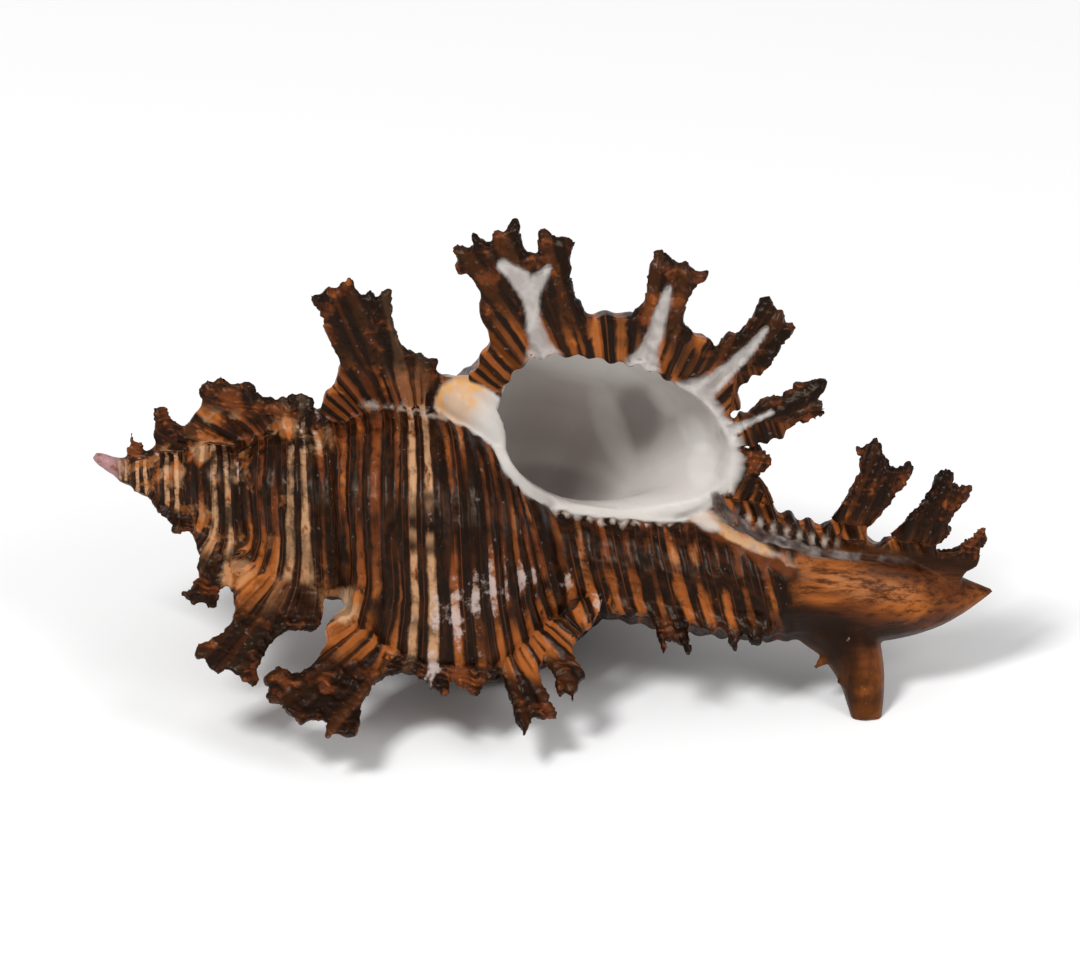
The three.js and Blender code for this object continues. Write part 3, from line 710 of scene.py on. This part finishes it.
# The resting place. The shell lies on its belly with the mouth turned up towards the viewer; the
# belly, the old canal's tip and the back blades touch the ground and are worn flat where they do.
# Slivers that hang by one edge are taken off, so that the skin is closed.
AXIS_DIP = 8
LEAN = 62
TIP_PLACE = (-45.5945, 2.1447, 21.5804)
shell.matrix_world = (
    Matrix.Diagonal((0.001, 0.001, 0.001, 1)) @ Matrix.Translation(TIP_PLACE)
    @ Matrix.Rotation(math.radians(LEAN), 4, "X") @ Matrix.Rotation(math.radians(-AXIS_DIP), 4, "Z")
)
bpy.ops.object.transform_apply(location=True, rotation=True, scale=True)
bpy.ops.object.mode_set(mode="EDIT")
bpy.ops.mesh.select_all(action="SELECT")
bpy.ops.mesh.bisect(plane_co=(0, 0, 0), plane_no=(0, 0, 1), use_fill=True, clear_inner=True, threshold=1e-6)
bpy.ops.mesh.select_all(action="SELECT")
bpy.ops.mesh.quads_convert_to_tris()
bpy.ops.mesh.select_mode(type="EDGE")
bpy.ops.mesh.select_all(action="DESELECT")
bpy.ops.mesh.select_non_manifold(
    use_wire=False, use_multi_face=False, use_non_contiguous=False, use_verts=False,
)
bpy.ops.mesh.select_mode(type="FACE", use_expand=True)
bpy.ops.mesh.delete(type="FACE")
bpy.ops.mesh.select_all(action="SELECT")
bpy.ops.mesh.normals_make_consistent(inside=False)
bpy.ops.object.mode_set(mode="OBJECT")
bpy.ops.object.shade_smooth()
shell.location = (0, 0, 0)
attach(shell, "root")
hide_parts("shell")


# The colours. Dark brown cords with orange and cream between them, darker scaly blades, a white
# porcelain mouth, a reddish glossy canal and a pink tip, in the lime itself. Painted shade darkens the
# mouth's inside, the canal's sides and the neck's joins; painted highlights lie in the mouth, on the
# fold, along the canal and as tiny flecks.
DARK = (0.0075, 0.0027, 0.0013, 1)
BROWN = (0.03, 0.009, 0.003, 1)
RUST = (0.165, 0.04, 0.01, 1)
ORANGE = (0.43, 0.122, 0.021, 1)
CREAM = (0.47, 0.27, 0.14, 1)
WHITE = (0.53, 0.5, 0.465, 1)
PALE = (0.47, 0.44, 0.415, 1)
GREY = (0.3, 0.265, 0.25, 1)
RED_BROWN = (0.1, 0.026, 0.0075, 1)
PINK = (0.33, 0.18, 0.18, 1)
SHEEN_TAN = (0.42, 0.17, 0.065, 1)
PEARL = (0.55, 0.515, 0.485, 1)
PEARL_SHADE = (0.52, 0.465, 0.44, 1)
GLEAM = (0.88, 0.85, 0.82, 1)
YOLK = (0.6, 0.29, 0.07, 1)
PINKISH = (0.5, 0.4, 0.37, 1)


class Shade:
    """A socket of the shader, so that the colouring below reads as plain arithmetic."""

    tree = None

    def __init__(self, socket):
        self.socket = socket

    @classmethod
    def node(cls, kind, settings, inputs, output=0):
        made = cls.tree.nodes.new(kind)
        for name, value in settings.items():
            setattr(made, name, value)
        for name, value in inputs.items():
            if isinstance(value, Shade):
                cls.tree.links.new(value.socket, made.inputs[name])
            else:
                made.inputs[name].default_value = value
        return Shade(made.outputs[output])

    def math(self, operation, *others):
        return Shade.node("ShaderNodeMath", {"operation": operation}, dict(enumerate((self,) + others)))

    def __add__(self, other):
        return self.math("ADD", other)

    __radd__ = __add__

    def __mul__(self, other):
        return self.math("MULTIPLY", other)

    __rmul__ = __mul__

    def __sub__(self, other):
        return self.math("SUBTRACT", other)

    def __rsub__(self, other):
        return Shade.node("ShaderNodeMath", {"operation": "SUBTRACT"}, {0: other, 1: self})

    def step(self, low, high):
        """Smoothly 0 below low and 1 above high."""
        settings = {"interpolation_type": "SMOOTHSTEP"}
        return Shade.node("ShaderNodeMapRange", settings, {0: self, 1: low, 2: high, 3: 0.0, 4: 1.0})

    def blend(self, other, share):
        """This colour turning into the other."""
        return Shade.node("ShaderNodeMix", {"data_type": "RGBA"}, {0: share, 6: self, 7: other}, 2)


lime = bpy.data.materials.new("shell_lime")
lime.use_nodes = True
Shade.tree = lime.node_tree
surface = lime.node_tree.nodes["Principled BSDF"]


def feature(name):
    return Shade.node("ShaderNodeAttribute", {"attribute_name": name}, {}, "Fac")


def grain(scale, detail=3, where=None, roughness=0.6):
    settings = {"noise_dimensions": "3D"}
    inputs = {"Scale": scale, "Detail": detail, "Roughness": roughness}
    inputs["Vector"] = where or Shade.node("ShaderNodeTexCoord", {}, {}, "Object")
    return Shade.node("ShaderNodeTexNoise", settings, inputs, "Fac")


def strung(across, along):
    """Coordinates for markings drawn out along the cords."""
    return Shade.node("ShaderNodeCombineXYZ", {}, {0: across, 1: along})


def plain_colour(colour):
    made = Shade.node("ShaderNodeRGB", {}, {})
    made.socket.default_value = colour
    return made


cord = feature("cord")
growth = feature("growth")
leaf = feature("leaf")
rise = feature("rise")
tube_share = feature("tube")
wander = grain(240, 2)
coarse = grain(110, 2)
fine = grain(900, 3)
uneven = grain(1, 1, strung(cord * 0.55, growth * 0.03))
swayed = cord + 0.3 * (wander - 0.5) + 0.7 * (uneven - 0.5)
ridge = (swayed * (2 * math.pi)).math("COSINE") * 0.5 + 0.5
web = feature("web")
lip_edge = growth.step(-1.2, -0.4)
ridge = ridge + web * 0.8 * ((swayed * (4 * math.pi)).math("COSINE") * 0.5 + 0.5 - ridge)
streak = grain(1, 2, strung(cord * 0.8, growth * 0.14))
broken = grain(1, 3, strung(cord * 1.6 + 7.3, growth * 0.9))
band = grain(1, 2, strung(growth * 0.45, cord * 0.1))
pair = 1 - (cord - 14).math("ABSOLUTE").step(0.8, 1.5)
lit = (streak.step(0.38, 0.66) + 0.6 * pair * (1 - lip_edge) + 0.5 * rise).math("MINIMUM", 1.0)
lines = grain(1, 2, strung(cord * 2.6 + 1.7, growth * 0.12))
stripe = 0.68 * ridge + 0.32 * lines.step(0.3, 0.7)
between = (0.14 + 0.28 * lit + 0.24 * web + 0.35 * (fine - 0.5) - stripe).step(-0.2, 0.18)
thread = ((cord * 2.97 + 0.5 * wander) * (2 * math.pi)).math("COSINE").step(0.72, 1.0)
dark = plain_colour(DARK).blend(BROWN, broken.step(0.42, 0.68))
dark = dark.blend(RUST, thread * streak.step(0.42, 0.62) * 0.5)
tint = grain(1, 2, strung(cord * 0.7 + 3.1, growth * 0.22))
light = plain_colour(RUST).blend(ORANGE, (tint.step(0.48, 0.68) + rise).math("MINIMUM", 1.0) * 0.7)
creamy = tint.step(0.6, 0.72) * 0.5 + pair * broken.step(0.3, 0.5) * (1 - 0.8 * web) * (1 - 0.9 * lip_edge)
light = light.blend(CREAM, creamy.math("MINIMUM", 1.0) * 0.85).blend(ORANGE, lip_edge * 0.5)
crossed = grain(1, 3, strung(cord * 2.2, growth * 2.1))
light = light.blend(BROWN, crossed.step(0.48, 0.74) * 0.65)
shows = between * band.step(0.32, 0.48) * broken.step(0.2, 0.44)
shows = shows * coarse.step(0.2, 0.44) * (0.45 + 0.55 * lit)
colour = dark.blend(light, shows).blend(DARK, feature("suture") * 0.75)
scaly = grain(330, 3)
early = 1 - growth.step(-74, -52)
blotch = grain(380, 3)
colour = colour.blend(DARK, early * (1 - blotch.step(0.38, 0.52)) * 0.85)
blotch_colour = plain_colour(ORANGE).blend(CREAM, fine.step(0.45, 0.6))
colour = colour.blend(blotch_colour, early * blotch.step(0.56, 0.68) * 0.45)
rib = ((cord * 2 + 0.5 * wander) * (2 * math.pi)).math("COSINE").step(0.1, 1.0)
blade = plain_colour(DARK).blend(RUST, scaly.step(0.5, 0.72) * 0.7)
blade = blade.blend(RUST, rib * broken.step(0.46, 0.72) * 0.25)
leafed = (feature("lamella") * (2 * math.pi)).math("COSINE").step(0.3, 1.0)
blade = blade.blend(RUST, leafed * scaly.step(0.45, 0.65) * 0.4)
blade = blade.blend(ORANGE, leafed * rib * scaly.step(0.5, 0.66) * 0.4)
colour = colour.blend(blade, feature("blade").step(0.1, 0.9) * 0.92)
spot = Shade.node("ShaderNodeTexCoord", {}, {}, "Object")
pose = Matrix.Rotation(math.radians(LEAN), 3, "X") @ Matrix.Rotation(math.radians(-AXIS_DIP), 3, "Z")


def reading(across):
    """Millimetres from the spire's tip as the viewer faces the mouth: 0 along the axis, 1 across it."""
    axis = pose.col[across]
    along = Shade.node("ShaderNodeVectorMath", {"operation": "DOT_PRODUCT"}, {0: spot, 1: axis}, "Value")
    return along * 1000 - axis.dot(Vector(TIP_PLACE))


seen_x = reading(0)
seen_y = reading(1)


def oval(x, y, wide, tall, turned=0):
    """1 in the middle of an oval place, fading to 0 at its edge."""
    run = math.cos(math.radians(turned))
    climb = math.sin(math.radians(turned))
    along = ((seen_x - x) * run + (seen_y - y) * climb) * (1 / wide)
    up = ((seen_y - y) * run - (seen_x - x) * climb) * (1 / tall)
    return 1 - (along * along + up * up).step(0.25, 1.3)


drawn_out = Shade.node("ShaderNodeVectorMath", {"operation": "MULTIPLY"}, {0: spot, 1: (0.16, 1, 1)})
drawn_down = Shade.node("ShaderNodeVectorMath", {"operation": "MULTIPLY"}, {0: spot, 1: (1, 0.4, 0.16)})
tube_streak = grain(1500, 4, drawn_out, 0.75)
tube_streak = tube_streak + feature("old") * (grain(1500, 4, drawn_down, 0.75) - tube_streak)
tube_colour = plain_colour(RED_BROWN).blend(ORANGE, grain(210, 3, drawn_out).step(0.38, 0.62) * 0.75)
tube_colour = tube_colour.blend(DARK, tube_streak.step(0.42, 0.7) * (0.85 - 0.5 * feature("old")))
# Painted shade: the canal darker towards its sides, lighter along its middle.
tube_side_shade = (feature("middle") - 0.3).math("ABSOLUTE") * (1 - feature("old"))
tube_colour = tube_colour.blend(DARK, (tube_side_shade + 0.6 * (coarse - 0.5)).step(0.2, 0.75) * 0.85)
scaly_tube = grain(300, 3).step(0.42, 0.6)
tube_colour = tube_colour.blend(DARK, feature("old") * (0.45 + 0.3 * scaly_tube))
# Painted shade on the old canal's left side and where it leaves the canal.
tube_colour = tube_colour.blend(DARK, oval(76.2, -9.6, 1.9, 5, 12) * 0.75)
tube_colour = tube_colour.blend(DARK, oval(73, -6.2, 5, 2.6, -25) * (0.45 + 0.4 * tube_streak))
# A painted highlight streak along the canal's middle.
tube_colour = tube_colour.blend(SHEEN_TAN, oval(77.5, -1.4, 6, 1.3, -3) * tube_streak.step(0.6, 0.35) * 0.6)
# The canal's own colours go on, then painted shade darkens the neck's joins and its underside.
colour = colour.blend(tube_colour, tube_share).blend(DARK, feature("edge") * broken.step(0.3, 0.5) * 0.85)
# Painted glints: tiny pale flecks standing in for glossy highlights.
glint_flecks = grain(1500, 1).step(0.7, 0.78) * (1 - leaf * 0.4) * (1 - tube_share)
colour = colour.blend(PALE, glint_flecks * 0.12)
patch = (feature("orange") + 0.9 * (streak - 0.5) + 0.7 * (fine - 0.5)).step(0.25, 0.6)
patch_colour = plain_colour(ORANGE).blend(CREAM, tint.step(0.4, 0.6))
colour = colour.blend(patch_colour, patch * (0.45 + 0.5 * between))
wear = (0.85 * feature("worn") + 1.9 * (grain(950, 3) - 0.5) + 0.5 * (between - 0.5)).step(0.5, 1.0)
chalk = plain_colour(PINKISH).blend(CREAM, grain(500, 2).step(0.5, 0.65) * 0.7)
colour = colour.blend(chalk, wear * 0.75)
colour = colour.blend(plain_colour(CREAM).blend(WHITE, 0.6), feature("beads") * 0.85)
fold_colour = plain_colour(CREAM).blend(GREY, grain(420, 3).step(0.5, 0.62) * 0.8)
fold_colour = fold_colour.blend(ORANGE, grain(760, 2).step(0.48, 0.64) * 0.6)
fold_edge = 1 - (feature("fold_top") + 0.9 * (scaly - 0.5) - 0.5 * feature("far_end")).step(0.2, 0.6)
fold_colour = fold_colour.blend(plain_colour(RUST).blend(BROWN, fine), fold_edge)
# A painted highlight at the fold's upper end.
fold_colour = fold_colour.blend(WHITE, oval(60.9, 2.9, 1.6, 0.9, -20) * 0.7)
colour = colour.blend(fold_colour, feature("fold"))
# The mouth's porcelain: white at the rim, callus and knob, painted grey as shade deeper in the mouth.
porcelain = plain_colour(GREY).blend(WHITE, feature("unshaded_rim"))
porcelain = porcelain.blend(PALE, grain(300, 2).step(0.45, 0.7) * 0.4)
amber = feature("amber")
porcelain = porcelain.blend(CREAM, amber * 0.7).blend(YOLK, amber * grain(330, 2).step(0.5, 0.64) * 0.7)
colour = colour.blend(porcelain, feature("white"))
# The mouth's inside: painted shade deep in the hollow, low in the mouth and in a patch by the outer lip.
hollow_shade = oval(45.3, 8.6, 6.2, 7.4).math("MULTIPLY", 1 - oval(44.4, 6.2, 2.4, 1.7) * 0.4)
chamber_colour = plain_colour(PEARL).blend(PEARL_SHADE, grain(260, 2).step(0.5, 0.75) * 0.3)
chamber_colour = chamber_colour.blend(PEARL_SHADE, hollow_shade).blend(GREY, oval(45.5, 4.4, 6.5, 2.2) * 0.7)
chamber_colour = chamber_colour.blend(GREY, oval(52.9, 12.2, 3.6, 2.5, 105) * 0.8)
# Painted highlights on the mouth's inside: along the fold within it, at the upper wall and by the outer
# lip.
chamber_colour = chamber_colour.blend(GLEAM, oval(50.4, 10.8, 5, 1.7, -61) * 0.4)
chamber_colour = chamber_colour.blend(GLEAM, oval(46.5, 18.2, 9, 3.4, -4) * 0.7)
for place in [(55.4, 14.2, 2.4, 1.3, -35), (58.5, 11.5, 2.4, 1.3, -50), (59.8, 8.3, 1.6, 2.4)]:
    chamber_colour = chamber_colour.blend(GLEAM, oval(*place) * 0.25)
colour = colour.blend(chamber_colour, feature("inside"))
trough = plain_colour(PALE).blend(GREY, grain(420, 2).step(0.4, 0.65) * 0.8)
colour = colour.blend(trough, feature("groove") * 0.95)
channel = plain_colour(GREY).blend(BROWN, grain(420, 2).step(0.3, 0.6) * 0.7 + 0.3 * feature("far_end"))
colour = colour.blend(channel, feature("slit") * (1 - seen_x.step(76, 82.5)) * 0.9)
colour = colour.blend(plain_colour(PINK).blend(RUST, grain(800, 2).step(0.5, 0.66) * 0.7), feature("tip"))
quiet = (feature("white") + feature("inside") + feature("fold")).math("MINIMUM", 1.0)
corded = (1 - leaf) * (1 - tube_share)
height = ridge * corded * 0.6 + fine * 0.3 + scaly * leaf * 0.3
height = height + rib * leaf * 0.4 + tube_streak * tube_share * 0.5
bump = {"Strength": 0.4, "Distance": 0.0003, "Height": height * (1 - quiet * 0.9)}
relief_normal = Shade.node("ShaderNodeBump", {}, bump, "Normal")
gloss = 0.48 - 0.24 * fine
lime.node_tree.links.new(colour.socket, surface.inputs["Base Color"])
lime.node_tree.links.new(gloss.socket, surface.inputs["Roughness"])
lime.node_tree.links.new(relief_normal.socket, surface.inputs["Normal"])
surface.inputs["Specular IOR Level"].default_value = 0.12
surface.inputs["Specular Tint"].default_value = (1, 0.85, 0.7, 1)
shell.data.materials.clear()
shell.data.materials.append(lime)


# The studio. A plain pale ground, soft light from all round with a larger lamp above and to the
# left, and a long lens at the photograph's height above the ground.
GROUND_SIZE = 3
PAPER_COLOUR = (0.9, 0.9, 0.9, 1)
SKY_COLOUR = (1, 1, 1, 1)
SKY_STRENGTH = 0.52
bpy.ops.mesh.primitive_plane_add(size=GROUND_SIZE)
ground = bpy.context.object
ground.name = "ground"
paper = bpy.data.materials.new("paper")
paper.use_nodes = True
paper.node_tree.nodes["Principled BSDF"].inputs["Base Color"].default_value = PAPER_COLOUR
paper.node_tree.nodes["Principled BSDF"].inputs["Roughness"].default_value = 0.9
ground.data.materials.append(paper)

world = bpy.data.worlds.new("studio")
bpy.context.scene.world = world
world.use_nodes = True
world.node_tree.nodes["Background"].inputs["Color"].default_value = SKY_COLOUR
world.node_tree.nodes["Background"].inputs["Strength"].default_value = SKY_STRENGTH


def lamp(name, place, size, power, aim=(0, 0, 0.02)):
    bpy.ops.object.light_add(type="AREA", location=place)
    made = bpy.context.object
    made.name = name
    made.data.size = size
    made.data.energy = power
    made.rotation_euler = (Vector(aim) - Vector(place)).to_track_quat("-Z", "Y").to_euler()


lamp("key", (-0.3, -0.4, 0.7), 0.2, 5.2)
lamp("fill", (0.5, -0.4, 0.5), 0.3, 1.8)

CAMERA_RISE = 28
LENS = 500
CAMERA_DISTANCE = 1.484
LOOK_AT = Vector((-0.00127, 0.00136, 0.02009))
tilt = math.radians(CAMERA_RISE)
bpy.ops.object.camera_add(
    location=LOOK_AT + CAMERA_DISTANCE * Vector((0, -math.cos(tilt), math.sin(tilt))),
    rotation=(math.pi / 2 - tilt, 0, 0),
)
camera = bpy.context.object
camera.data.lens = LENS
camera.data.sensor_width = 36
camera.data.clip_end = 20
bpy.context.scene.camera = camera
bpy.context.scene.view_settings.view_transform = "Standard"
